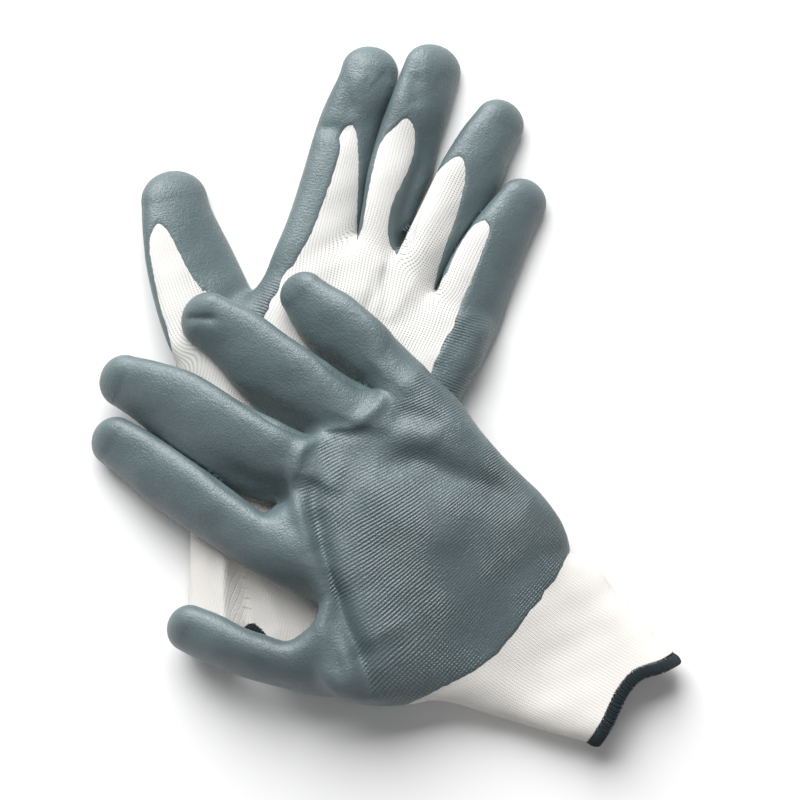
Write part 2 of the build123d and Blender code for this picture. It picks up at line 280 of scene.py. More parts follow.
class Tube:
    """A flattened tube along a path, for a digit.

    a is half its width and b half its height. Its section's corners are squarer the higher
    the power is, and its top leans to one side by the lean.
    """

    def __init__(self, rows, power, lean=0.0):
        path = spline(rows)
        self.xy = path[:, :2] + SHIFT
        self.a, self.b = path[:, 3] / 2, path[:, 4] / 2
        self.power, self.reach, self.lean = power, TIP * self.a[-1], lean
        self.z = path[:, 2] + 3 * abs(lean)
        lengths = np.linalg.norm(np.diff(self.xy, axis=0), axis=1)
        self.s = np.concatenate([[0], np.cumsum(lengths)])

    def place(self, xy):
        """Along, sideways, past the end, and the path's z, a and b, for each plan point."""
        index, share, _ = nearest(xy, self.xy)
        run = self.xy[index + 1] - self.xy[index]
        run /= np.linalg.norm(run, axis=1)[:, None]
        foot = self.xy[index] + share[:, None] * (self.xy[index + 1] - self.xy[index])
        off = xy - foot
        beyond = (index == len(self.xy) - 2) & (share >= 1) | (index == 0) & (share <= 0)
        past = np.where(beyond, np.sum(off * run, axis=1), 0)
        sideways = run[:, 0] * off[:, 1] - run[:, 1] * off[:, 0]
        s, z, a, b = (v[index] * (1 - share) + v[index + 1] * share
                      for v in (self.s, self.z, self.a, self.b))
        return s, sideways, past, z, a, b

    def share(self, xy, sideways, a):
        """How far out towards the side each point lies, 1 at the side."""
        return np.abs(sideways) / a

    def point(self, s):
        """The path's centre, direction and half sizes at s."""
        at = [np.interp(s, self.s, v) for v in (self.xy[:, 0], self.xy[:, 1], self.z, self.a, self.b)]
        ahead = [np.interp(s + 2, self.s, v) for v in (self.xy[:, 0], self.xy[:, 1])]
        way = np.array(ahead) - at[:2]
        return np.array(at[:3]), way / np.linalg.norm(way), at[3], at[4]

    def field(self, xy, z):
        """About the signed distance to the tube's surface, for matching xy and z."""
        s, sideways, past, middle, a, b = self.place(xy)
        rise = self.lean * np.clip(sideways, -a, a)
        grown = smooth(s, 0, 28)
        middle = middle + rise * np.where(rise > 0, 0.1 + 0.9 * grown, 1.4 - 0.4 * grown)
        return self.distance(np.hypot(sideways, past * a / self.reach) / a, z, middle, a, b)

    def distance(self, wide, z, middle, a, b):
        """The distance for a section that is rounded over a sideways and b up and down."""
        high = np.abs(z - middle[:, None]) / b[:, None]
        m = self.power
        tiny = 1e-3
        wide = np.maximum(wide, tiny)[:, None]
        high = np.maximum(high, tiny)
        f = (wide ** m + high ** m) ** (1 / m)
        slope = np.hypot(wide ** (m - 1) / a[:, None], high ** (m - 1) / b[:, None]) * f ** (1 - m)
        return (f - 1) / np.maximum(slope, tiny)


class Pad(Tube):
    """A palm and cuff of any outline in plan, rounded along its edge."""

    def __init__(self, rows, outline, fan):
        super().__init__([row[:5] for row in rows], 2.2)
        self.outline, self.fan = outline, np.array(fan) + SHIFT
        self.rim = spline(rows)[:, 5]
        whole = self.xy[-1] - self.xy[0]
        self.way = whole / np.linalg.norm(whole)
        self.at = (self.xy - self.xy[0]) @ self.way

    def across(self, xy, values):
        """The path's values at the points' places along the palm."""
        return np.interp((xy - self.xy[0]) @ self.way, self.at, values)

    def place(self, xy):
        """As a tube's, but along and sideways are turns and radii about the fan's point."""
        first, off = self.xy[0] - self.fan, xy - self.fan
        radius = np.linalg.norm(off, axis=1)
        turn = np.arctan2(off[:, 1] * first[0] - off[:, 0] * first[1], off @ first)
        middle = self.across(xy, np.linalg.norm(self.xy - self.fan, axis=1))
        s = -turn * np.linalg.norm(self.xy[len(self.xy) // 2] - self.fan)
        z, a, b = (self.across(xy, v) for v in (self.z, self.a, self.b))
        return s, radius - middle, np.zeros(len(xy)), z, a, b

    def share(self, xy, sideways, a):
        """As a tube's: 1 at the outline, 0 at 40 inside it."""
        return 1 - inside_of(xy, self.outline) / 40

    def field(self, xy, z):
        middle, b, rim = (self.across(xy, v) for v in (self.z, self.b, self.rim))
        wide = 1 - inside_of(xy, self.outline) / rim
        return self.distance(wide, z, middle, rim, b)


def soft_min(p, q, k):
    """The lesser of two fields, blended where they are within k of each other."""
    h = np.maximum(k - np.abs(p - q), 0) / k
    return np.minimum(p, q) - h * h * k / 4


def tubes_of(table, outline, fan, lean):
    """One glove's digits and palm."""
    tubes = {name: Tube(table[name], 2.1, lean[name]) for name in DIGITS}
    tubes["palm"] = Pad(table["palm"], outline, fan)
    return tubes


def glove_field(tubes, xs, ys, zs, floor):
    """The union of one glove's tubes on a grid, with a slit kept between the digits."""
    shape = (len(xs), len(ys), len(zs))
    plan = np.stack(np.meshgrid(xs, ys, indexing="ij"), -1).reshape(-1, 2)
    fields = {}
    for name, tube in tubes.items():
        margin = tube.a.max() + tube.reach + 10 + 20 * (name == "palm")
        low, high = tube.xy.min(0) - margin, tube.xy.max(0) + margin
        near = np.all((plan > low) & (plan < high), axis=1)
        f = np.full((len(plan), len(zs)), OUTSIDE, np.float32)
        f[near] = tube.field(plan[near], zs[None, :])
        fields[name] = f.reshape(shape)
    cut = {}
    for name in DIGITS:
        others = np.min([fields[n] for n in DIGITS if n != name], axis=0)
        cut[name] = np.maximum(fields[name], (fields[name] - others) / 2 + GAP)
    digits = np.min(list(cut.values()), axis=0)
    union = soft_min(fields["palm"], digits, WEB)
    return np.maximum(union, floor - zs[None, None, :])


def surface_net(f, origin):
    """The zero surface of a field on a grid of STEP cells, as points and triangles."""
    inside = f < 0
    corners = [(i, j, k) for i in (0, 1) for j in (0, 1) for k in (0, 1)]
    size = np.array(f.shape) - 1
    count = sum(inside[i:i + size[0], j:j + size[1], k:k + size[2]].astype(np.int8)
                for i, j, k in corners)
    cells = np.argwhere((count > 0) & (count < 8))
    total, hits = np.zeros((len(cells), 3)), np.zeros(len(cells))
    for c in corners:
        for axis in range(3):
            if c[axis]:
                continue
            d = list(c)
            d[axis] = 1
            p = f[tuple((cells + c).T)]
            q = f[tuple((cells + d).T)]
            crossing = (p < 0) != (q < 0)
            t = np.where(crossing, p / np.where(crossing, p - q, 1), 0)
            spot = cells + c + t[:, None] * np.eye(3)[axis]
            total[crossing] += spot[crossing]
            hits += crossing
    points = np.array(origin) + total / hits[:, None] * STEP
    ids = np.full(size, -1)
    ids[tuple(cells.T)] = np.arange(len(cells))
    quads = []
    for axis in range(3):
        u, v = np.eye(3, dtype=int)[(axis + 1) % 3], np.eye(3, dtype=int)[(axis + 2) % 3]
        start = [slice(None)] * 3
        start[axis] = slice(0, -1)
        ahead = [slice(None)] * 3
        ahead[axis] = slice(1, None)
        a, b = inside[tuple(start)], inside[tuple(ahead)]
        at = np.argwhere(a != b)
        at = at[np.all((at[:, [(axis + 1) % 3, (axis + 2) % 3]] > 0), axis=1)]
        at = at[np.all(at < size, axis=1)]
        ring = [ids[tuple((at - s).T)] for s in (u + v, v, 0 * u, u)]
        quad = np.stack(ring, 1)
        flip = ~inside[tuple(at.T)]
        quad[flip] = quad[flip][:, ::-1]
        quads.append(quad)
    quads = np.vstack(quads)
    quads = quads[np.all(quads >= 0, axis=1)]
    return points, np.vstack([quads[:, [0, 1, 2]], quads[:, [0, 2, 3]]])


def neighbours_mean(points, tris):
    """The mean of the points that each point shares an edge with."""
    ends = np.vstack([tris[:, [0, 1]], tris[:, [1, 2]], tris[:, [2, 0]]])
    a, b = np.concatenate([ends[:, 0], ends[:, 1]]), np.concatenate([ends[:, 1], ends[:, 0]])
    count = np.bincount(a, minlength=len(points))
    total = [np.bincount(a, points[b, k], minlength=len(points)) for k in range(3)]
    return np.stack(total, 1) / np.maximum(count, 1)[:, None]


def relax(points, tris, rounds):
    """Evens the mesh out without shrinking it."""
    for _ in range(rounds):
        for weight in (0.55, -0.57):
            points = points + weight * (neighbours_mean(points, tris) - points)
    return points


def normals_of(points, tris):
    """Unit normals of the points, weighted by the area of their triangles."""
    a, b, c = (points[tris[:, k]] for k in range(3))
    face = np.cross(b - a, c - a)
    total = [np.bincount(tris.ravel(), np.repeat(face[:, k], 3), minlength=len(points))
             for k in range(3)]
    normal = np.stack(total, 1)
    return normal / np.maximum(np.linalg.norm(normal, axis=1), 1e-9)[:, None]


def ripple(points, scale, seed):
    """Smooth random relief between about -1 and 1, with features of about that size."""
    rng = np.random.default_rng(seed)
    total = np.zeros(len(points))
    for _ in range(9):
        way = rng.normal(size=3)
        way *= (0.7 + 0.6 * rng.random()) * 2 * math.pi / scale / np.linalg.norm(way)
        total += np.sin(points @ way + rng.random() * 7)
    return total / 4


def crease(points, path, width, height):
    """How far a fold or a trough moves each point at full strength, and where along its path."""
    path = spline(np.array(path, float), 1.5) + SHIFT
    index, share, gap = nearest(points[:, :2], path)
    return height * np.exp(-(gap / width) ** 2), (index + share) / (len(path) - 1)


def sculpt(points, tris, folds, troughs):
    """Pushes the folds and the troughs into the surface seen from above."""
    normal = normals_of(points, tris)
    facing = smooth(normal[:, 2], -0.1, 0.5)
    lift = np.zeros(len(points))
    for fold in folds:
        move, along = crease(points, *fold)
        lift += move * np.minimum(1, 4.5 * np.minimum(along, 1 - along) + 0.05)
    for trough in troughs:
        move, along = crease(points, *trough)
        lift += move * smooth(along, 0, 0.6)
    lift += 0.34 * ripple(points, 38, 3) + 0.16 * ripple(points, 15, 5)
    return points + (lift * facing)[:, None] * normal


def split(data, tris, value):
    """Cuts a mesh along value = 0: data, triangles above and below, and the first new point."""
    above = value > 0
    count = above[tris].sum(1)
    mixed = tris[(count == 1) | (count == 2)]
    lone = above[mixed] == (count[(count == 1) | (count == 2)] == 1)[:, None]
    turn = (np.argmax(lone, 1)[:, None] + np.arange(3)) % 3
    a, b, c = np.take_along_axis(mixed, turn, 1).T
    ends = np.sort(np.vstack([np.stack([a, b], 1), np.stack([a, c], 1)]), axis=1)
    ends, back = np.unique(ends, axis=0, return_inverse=True)
    back = back.reshape(-1)
    first = len(value)
    t = value[ends[:, 0]] / (value[ends[:, 0]] - value[ends[:, 1]])
    data = {key: np.concatenate([v, v[ends[:, 0]] + (v[ends[:, 1]] - v[ends[:, 0]])
                                 * (t[:, None] if v.ndim == 2 else t)]) for key, v in data.items()}
    ab, ac = back[:len(a)] + first, back[len(a):] + first
    small = np.stack([a, ab, ac], 1)
    large = np.vstack([np.stack([ab, b, c], 1), np.stack([ab, c, ac], 1)])
    up = above[a]
    up2 = np.concatenate([up, up])
    over = np.vstack([tris[count == 3], small[up], large[~up2]])
    under = np.vstack([tris[count == 0], small[~up], large[up2]])
    return data, over, under, first


def measure(points, normal, tubes, palm_up):
    """For each point of a glove: its texture coordinates and its place on each tube."""
    data = {"pos": points, "normal": normal}
    xy, z = points[:, :2], points[:, 2]
    palm = tubes["palm"]
    total = np.zeros((len(points), 3))
    for name, tube in tubes.items():
        s, sideways, past, middle, a, b = tube.place(xy)
        f = tube.field(xy, z[:, None])[:, 0]
        data["near_" + name] = f
        data["side_" + name] = tube.share(xy, sideways, a)
        data["along_" + name] = (s + past) / tube.s[-1]
        low = np.clip((middle - z) / b, -1, 1)
        reach = np.abs(sideways) + 0.6 * b * (1 + low)
        under = 2 * (a + 0.6 * b) - np.abs(sideways) - 0.6 * b * (1 - low)
        u = np.sign(sideways) * np.where(low < 0, reach, under)
        v = s + past
        if name != "palm":
            root = palm.place(tube.xy[:1])
            u, v = u + root[1][0], v + root[0][0]
        weight = np.exp(-np.clip(f, 0, 30) / 1.5) * (PALM_HOLD if name == "palm" else 1)
        total += np.stack([u * weight, v * weight, weight], 1)
        if name == "palm":
            data["rib"] = weight
    data["rib"] = smooth(data["rib"] / total[:, 2], 0.8, 0.99)
    if palm_up:
        data["rib"] *= 0.1 + 0.9 * smooth(side_of(xy, LEFT_RIDGE), 0, 4)
    data["uv"] = total[:, :2] / total[:, 2:]
    return data


def bare_back(data):
    """Distance outside the bare knit on the back of a glove that lies palm up."""
    near = [40 * (data["side_palm"] - 0.8)]
    for name in DIGITS:
        along = np.clip((data["along_" + name] - 0.1) / 0.52, 0, 1)
        half = 0.62 * np.sqrt(1 - along ** 2) - 0.001
        width = 11 * (data["side_" + name] - half) + 30 * (along >= 1)
        near.append(np.maximum(width, data["near_" + name] - 1))
    return np.min(near, axis=0)


def coated(data, palm_up, edge_line):
    """Distance from the edge of the nitrile, positive where the glove is coated."""
    xy, facing = data["pos"][:, :2], data["normal"][:, 2]
    if palm_up:
        value = np.maximum(bare_back(data), (facing + 0.15) * 9)
    else:
        bare = np.max([inside_of(xy, outline) for outline in RIGHT_BARE.values()], axis=0)
        value = np.maximum(-bare, (-facing - 0.15) * 9)
    value = np.minimum(value, -side_of(xy, edge_line))
    return value + 0.14 * ripple(data["pos"], 4.5, 8) + 0.12 * ripple(data["pos"], 2.1, 9)


def make(name, data, tris, material):
    """A mesh object from the points that the triangles use, with its normals and coordinates."""
    used, back = np.unique(tris, return_inverse=True)
    tris = back.reshape(tris.shape)
    points, normal = data["pos"][used] / 1000, data["normal"][used]
    mesh = bpy.data.meshes.new(name)
    mesh.vertices.add(len(points))
    mesh.vertices.foreach_set("co", points.astype(np.float32).ravel())
    mesh.loops.add(tris.size)
    mesh.loops.foreach_set("vertex_index", tris.astype(np.int32).ravel())
    mesh.polygons.add(len(tris))
    mesh.polygons.foreach_set("loop_start", np.arange(0, tris.size, 3, dtype=np.int32))
    mesh.update(calc_edges=True)
    mesh.polygons.foreach_set("use_smooth", np.ones(len(tris), bool))
    layer = mesh.uv_layers.new(name="knit")
    layer.data.foreach_set("uv", (data["uv"][used] / 100)[tris.ravel()].astype(np.float32).ravel())
    for key in ("rib", "grid"):
        if key in data:
            values = mesh.attributes.new(key, "FLOAT", "POINT")
            values.data.foreach_set("value", data[key][used].astype(np.float32))
    length = np.maximum(np.linalg.norm(normal, axis=1), 1e-9)
    mesh.normals_split_custom_set_from_vertices((normal / length[:, None]).tolist())
    mesh.materials.append(material)
    piece = bpy.data.objects.new(name, mesh)
    bpy.context.scene.collection.objects.link(piece)
    return piece


def digit_value(data, side, name):
    """Positive on the digit's own side of the plane that it starts to bend at."""
    start, end = (np.array(p, float) + SHIFT for p in BEND[f"{side}_{name}"])
    way = (end - start) / np.linalg.norm(end - start)
    others = np.min([data["near_" + n] for n in DIGITS if n != name], axis=0)
    return np.minimum((data["pos"][:, :2] - start) @ way, (others - data["near_" + name]) / 2)


def digits_of(side, layer, data, tris, material, node_end):
    """Makes a layer's digits, each split off the palm's mesh, and returns what is left: the palm."""
    for name in DIGITS:
        data, digit, tris, _ = split(data, tris, digit_value(data, side, name))
        piece = make(f"{side}_{name}_{layer}", data, digit, material)
        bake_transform(piece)
        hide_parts(f"{side}_{name}_{node_end}")
    return data, tris


def boundary_loop(tris, first):
    """The ordered ring of points that a split made along an open edge."""
    edges = np.vstack([tris[:, [0, 1]], tris[:, [1, 2]], tris[:, [2, 0]]])
    flat = np.sort(edges, axis=1)
    _, index, count = np.unique(flat, axis=0, return_index=True, return_counts=True)
    after = {a: b for a, b in edges[index[count == 1]].tolist() if a >= first and b >= first}
    longest = []
    while after:
        ring = [next(iter(after))]
        while ring[-1] in after:
            ring.append(after.pop(ring[-1]))
        longest = max(longest, ring[:-1], key=len)
    return np.array(longest)


def ring_resample(values, positions, count):
    """The closed ring's values at evenly spaced places along its positions."""
    closed = np.vstack([positions, positions[:1]])
    lengths = np.concatenate([[0], np.cumsum(np.linalg.norm(np.diff(closed, axis=0), axis=1))])
    at = np.linspace(0, lengths[-1], count, endpoint=False)
    loop = np.vstack([values, values[:1]])
    return np.stack([np.interp(at, lengths, loop[:, k]) for k in range(3)], 1)


def ring_smooth(values, rounds):
    """The closed ring's values, evened out along it."""
    for _ in range(rounds):
        values = (np.roll(values, 1, 0) + 2 * values + np.roll(values, -1, 0)) / 4
    return values


def sweep(path, across, up, radius_u, radius_v, sides):
    """A tube along a closed path with an elliptical section: points, normals and triangles."""
    angle = np.arange(sides) * 2 * math.pi / sides
    c, s = np.cos(angle)[None, :, None], np.sin(angle)[None, :, None]
    offset = c * radius_u * across[:, None] + s * radius_v * up[:, None]
    points = (path[:, None] + offset).reshape(-1, 3)
    normal = unit((c / radius_u * across[:, None] + s / radius_v * up[:, None]).reshape(-1, 3))
    n = len(path)
    i = np.arange(n)[:, None]
    j = np.arange(sides)[None, :]
    p, q = i * sides + j, i * sides + (j + 1) % sides
    r, t = ((i + 1) % n) * sides + j, ((i + 1) % n) * sides + (j + 1) % sides
    tris = np.vstack([np.stack([p, r, q], -1).reshape(-1, 3), np.stack([q, r, t], -1).reshape(-1, 3)])
    face = np.cross(points[tris[:, 1]] - points[tris[:, 0]], points[tris[:, 2]] - points[tris[:, 0]])
    if np.mean(np.sum(face * normal[tris[:, 0]], axis=1)) < 0:
        tris = tris[:, ::-1]
    return points, normal, tris


def joined(parts):
    """One mesh's data and triangles from several sweeps."""
    tris, base = [], 0
    for points, _, part_tris in parts:
        tris.append(part_tris + base)
        base += len(points)
    data = {"pos": np.vstack([part[0] for part in parts]),
            "normal": np.vstack([part[1] for part in parts])}
    return data, np.vstack(tris)


def unit(vectors):
    return vectors / np.linalg.norm(vectors, axis=1)[:, None]


def square_to(vectors, ways):
    """The unit vectors without their share along the unit ways."""
    return unit(vectors - np.sum(vectors * ways, axis=1)[:, None] * ways)


def tangents(ring):
    """Unit directions along a closed ring of points."""
    return unit(np.roll(ring, -1, 0) - np.roll(ring, 1, 0))


def hem(side, ring, normal, outward, material):
    """The overlocked edge: a folded core, a thread wound over it and a chain along each face."""
    stitches = int(np.linalg.norm(ring - np.roll(ring, 1, 0), axis=1).sum() / STITCH)
    count = stitches * TURN
    path = ring_resample(ring_smooth(ring, 6), ring, count)
    way = tangents(path)
    up = square_to(ring_smooth(ring_resample(normal, ring, count), 20), way)
    across = np.cross(way, up)
    across *= np.sign(np.sum(across * outward, axis=1))[:, None]
    core = path + across * (0.25 * HEM_HALF) - up * (0.5 * WALL)
    turn = 2 * math.pi * np.arange(count) / TURN
    c, s = np.cos(turn)[:, None], np.sin(turn)[:, None]
    swell = 1 + 0.05 * c
    parts = [sweep(core, across, up, HEM_HALF - 0.25, HEM_THICK - 0.2, 16)]
    wound = core + across * (c * HEM_HALF * swell) + up * (s * HEM_THICK * swell)
    tangent = tangents(wound)
    out = square_to(across * c / HEM_HALF + up * s / HEM_THICK, tangent)
    parts.append(sweep(wound, out, np.cross(tangent, out), THREAD, THREAD * 1.5, 6))
    for face in (-1, 1):
        chain = core - across * (HEM_HALF * 0.93 + 0.28 * np.cos(2 * turn)[:, None])
        chain = chain + up * (face * (HEM_THICK * 0.55 + 0.22 * np.sin(2 * turn)[:, None]))
        parts.append(sweep(chain, across, up, THREAD * 0.8, THREAD * 0.8, 5))
    data, tris = joined(parts)
    data["pos"][:, 2] = np.maximum(data["pos"][:, 2], TABLE)
    data["uv"] = data["pos"][:, :2]
    piece = make(f"{side}_cuff_hem_thread", data, tris, material)
    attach(piece, f"{side}_glove")
    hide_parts(f"{side}_cuff_hem")


def elastic(side, palm, trim, material):
    """Elastic yarns laid inside the cuff."""
    parts = []
    angle = np.linspace(0, 2 * math.pi, 120, endpoint=False)
    power = 2 / 2.3
    for start in np.arange(8, 40, YARN_PITCH):
        centre, way, a, b = palm.point(trim + start)
        across = np.array([-way[1], way[0], 0])
        c = np.sign(np.cos(angle)) * np.abs(np.cos(angle)) ** power * (a - WALL - 4)
        s = np.sign(np.sin(angle)) * np.abs(np.sin(angle)) ** power * (0.5 * b)
        ring = centre + c[:, None] * across + s[:, None] * np.array([0, 0, 1])
        out = unit(ring - centre)
        parts.append(sweep(ring, out, np.cross(tangents(ring), out), YARN, YARN, 6))
    data, tris = joined(parts)
    data["uv"] = data["pos"][:, :2]
    piece = make(f"{side}_cuff_elastic_yarn", data, tris, material)
    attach(piece, f"{side}_glove")
    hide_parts(f"{side}_cuff_elastic")


def open_cuff(data, tris, hem_line):
    """Trims a glove's mesh at its hem, and returns the ring of points along the cut too."""
    data, tris, _, first = split(data, tris, -side_of(data["pos"][:, :2], hem_line))
    return data, tris, boundary_loop(tris, first)


def lining(data, tris, hem_line):
    """Adds the inner face of the knit, for some way into the cuff."""
    depth = -side_of(data["pos"][:, :2], hem_line)
    part = tris[np.all(depth[tris] < LINED, axis=1)]
    used, back = np.unique(part, return_inverse=True)
    inner = {key: v[used].copy() for key, v in data.items()}
    inner["pos"] -= WALL * inner["normal"]
    inner["normal"] = -inner["normal"]
    count = len(data["pos"])
    tris = np.vstack([tris, back.reshape(part.shape)[:, ::-1] + count])
    return {key: np.concatenate([data[key], inner[key]]) for key in data}, tris


def glove_mesh(side, tubes):
    """The points and triangles of one glove's union of tubes, before its folds."""
    everything = np.vstack([tube.xy for tube in tubes.values()])
    low, high = everything.min(0) - MARGINS[side][0], everything.max(0) + MARGINS[side][1]
    top = max((tube.z + tube.b).max() for tube in tubes.values()) + 5
    xs, ys = np.arange(low[0], high[0], STEP), np.arange(low[1], high[1], STEP)
    zs = np.arange(BOTTOM - 3 * STEP, top, STEP)
    field = glove_field(tubes, xs, ys, zs, BOTTOM)
    points, tris = surface_net(field, (xs[0], ys[0], zs[0]))
    return relax(points, tris, 5), tris


def nitrile_layer(side, data, tris, edge_line, material):
    """The coating over the coated part of a glove's mesh: its palm's and its digits'."""
    skin, tris, _, _ = split(data, tris, data["edge"])
    inward = -side_of(skin["pos"][:, :2], edge_line)
    skin["grid"] = skin["rib"] * (1 - smooth(inward, 6, 26))
    rise = SKIN * smooth(skin["edge"], -0.35, RIM) ** 0.7 - 0.1
    skin["pos"] = skin["pos"] + rise[:, None] * skin["normal"]
    skin["pos"][:, 2] = np.maximum(skin["pos"][:, 2], TABLE)
    skin["normal"] = normals_of(skin["pos"], tris)
    skin, tris = digits_of(side, "nitrile", skin, tris, material, "coating")
    piece = make(f"{side}_palm_nitrile", skin, tris, material)
    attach(piece, f"{side}_glove")
    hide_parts(f"{side}_palm_coating")


def knit_layer(side, data, tris, hem_line, material):
    """The knit of a glove: its digits', and its palm's with the cuff and the cuff's lining."""
    data["rib"] = smooth(-side_of(data["pos"][:, :2], hem_line), 60, 105)
    data, tris = digits_of(side, "knit", data, tris, material, "liner")
    data, tris = lining(data, tris, hem_line)
    piece = make(f"{side}_palm_knit", data, tris, material)
    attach(piece, f"{side}_glove")
    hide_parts(f"{side}_palm_liner", f"{side}_cuff")


def build_glove(side, tubes, folds, troughs, edge_line, hem_line, materials):
    """All the pieces of one glove. The left one lies palm up."""
    palm_up = side == "left"
    palm = tubes["palm"]
    points, tris = glove_mesh(side, tubes)
    points = sculpt(points, tris, folds, troughs)
    points = relax(points, tris, 2)
    data = measure(points, normals_of(points, tris), tubes, palm_up)
    data, tris, ring = open_cuff(data, tris, hem_line)
    edge_points, edge_normals = data["pos"][ring], data["normal"][ring]

    data["edge"] = coated(data, palm_up, edge_line)
    nitrile_layer(side, data, tris, edge_line, materials["nitrile"])
    knit_layer(side, data, tris, hem_line, materials["knit"])
    outward = np.append(palm.xy[0] - palm.xy[4], 0)
    hem(side, edge_points, edge_normals, outward, materials["thread"])
    trim = palm.place(edge_points[:, :2])[0].max()
    elastic(side, palm, trim, materials["elastic"])


class Nodes:
    """Builds a node tree with short calls."""

    def __init__(self, material):
        material.use_nodes = True
        self.tree = material.node_tree
        self.bsdf = self.tree.nodes["Principled BSDF"]

    def feed(self, socket, value):
        """Links the value to the socket if it is a socket itself, and sets it if not."""
        if isinstance(value, bpy.types.NodeSocket):
            self.tree.links.new(value, socket)
        else:
            socket.default_value = value

    def math(self, operation, a, b=0.0, c=0.0):
        made = self.tree.nodes.new("ShaderNodeMath")
        made.operation = operation
        for socket, value in zip(made.inputs, (a, b, c)):
            self.feed(socket, value)
        return made.outputs[0]

    def noise(self, vector, scale, detail=2.0, rough=0.5):
        made = self.tree.nodes.new("ShaderNodeTexNoise")
        self.feed(made.inputs["Vector"], vector)
        self.feed(made.inputs["Scale"], scale)
        self.feed(made.inputs["Detail"], detail)
        self.feed(made.inputs["Roughness"], rough)
        return made.outputs["Fac"]

    def ramp(self, value, low, high):
        made = self.tree.nodes.new("ShaderNodeMapRange")
        made.interpolation_type = "SMOOTHSTEP"
        self.feed(made.inputs["Value"], value)
        self.feed(made.inputs["From Min"], low)
        self.feed(made.inputs["From Max"], high)
        return made.outputs["Result"]

    def mix(self, share, a, b):
        made = self.tree.nodes.new("ShaderNodeMix")
        made.data_type = "RGBA"
        self.feed(made.inputs[0], share)
        self.feed(made.inputs[6], a)
        self.feed(made.inputs[7], b)
        return made.outputs[2]

    def bump(self, height, strength, distance, normal=None):
        made = self.tree.nodes.new("ShaderNodeBump")
        self.feed(made.inputs["Height"], height)
        self.feed(made.inputs["Strength"], strength)
        self.feed(made.inputs["Distance"], distance)
        if normal is not None:
            self.feed(made.inputs["Normal"], normal)
        return made.outputs["Normal"]

    def knit_uv(self):
        """The texture coordinates across and along the knit, in millimetres."""
        source = self.tree.nodes.new("ShaderNodeUVMap")
        source.uv_map = "knit"
        parts = self.tree.nodes.new("ShaderNodeSeparateXYZ")
        self.feed(parts.inputs[0], source.outputs[0])
        u = self.math("MULTIPLY", parts.outputs[0], 100.0)
        v = self.math("MULTIPLY", parts.outputs[1], 100.0)
        return u, v

    def attribute(self, name):
        made = self.tree.nodes.new("ShaderNodeAttribute")
        made.attribute_name = name
        return made.outputs["Fac"]

    def place(self):
        """Position on the piece, in metres."""
        return self.tree.nodes.new("ShaderNodeTexCoord").outputs["Object"]

    def wave(self, value, pitch):
        """A wave from 0 to 1 with that pitch."""
        turned = self.math("MULTIPLY", value, 2 * math.pi / pitch)
        return self.math("MULTIPLY_ADD", self.math("COSINE", turned), 0.5, 0.5)


def rgb(r, g, b):
    """Linear colour from an sRGB one given 0 to 255."""
    return tuple((c / 255 / 12.92 if c < 10.3 else ((c / 255 + 0.055) / 1.055) ** 2.4)
                 for c in (r, g, b)) + (1.0,)


def nitrile():
    """A grainy grey rubber skin, with the knit's courses showing through over the palm and painted shade
    darkening the grooves between them.
    """
    material = bpy.data.materials.new("nitrile_grey")
    n = Nodes(material)
    u, v = n.knit_uv()
    spot = n.place()
    rib_pitch, wale_pitch = 1.2, 1.5
    drift = n.math("MULTIPLY", n.noise(spot, 28.0, 2.0), 5.0)
    ribs = n.wave(n.math("ADD", v, drift), rib_pitch)
    wales = n.wave(u, wale_pitch)
    palm = n.ramp(n.attribute("rib"), 0.35, 0.95)
    patch = n.math("MULTIPLY_ADD", n.ramp(n.noise(spot, 34.0, 2.5), 0.36, 0.6), 0.85, 0.15)
    patch = n.math("MULTIPLY", patch, n.math("MULTIPLY_ADD", palm, 0.93, 0.07))
    grain = n.noise(spot, 1250.0, 3.0, 0.65)
    coarse = n.noise(spot, 420.0, 2.0, 0.5)
    grid = n.math("MULTIPLY_ADD", n.attribute("grid"), 0.65, 0.14)
    stitched = n.math("MULTIPLY", ribs, n.math("SUBTRACT", 1.0, n.math("MULTIPLY", grid, wales)))
    relief = n.math("MULTIPLY", stitched, patch)
    first = n.bump(relief, 0.9, 0.00034)
    second = n.bump(coarse, 0.4, 0.0004, first)
    third = n.bump(grain, 0.95, 0.00034, second)
    tone = n.mix(n.ramp(n.noise(spot, 36.0, 4.0), 0.3, 0.7), rgb(86, 101, 104), rgb(99, 115, 118))
    # Painted shade: the grooves between the ribs are coloured darker, towards a deep grey.
    dark = n.math("MULTIPLY", n.math("SUBTRACT", 1.0, stitched), patch)
    tone = n.mix(n.math("MULTIPLY", dark, 0.45), tone, rgb(44, 57, 61))
    n.feed(n.bsdf.inputs["Base Color"], tone)
    n.feed(n.bsdf.inputs["Roughness"], n.math("MULTIPLY_ADD", grain, 0.25, 0.24))
    n.feed(n.bsdf.inputs["Specular IOR Level"], 0.75)
    n.feed(n.bsdf.inputs["Normal"], third)
    return material


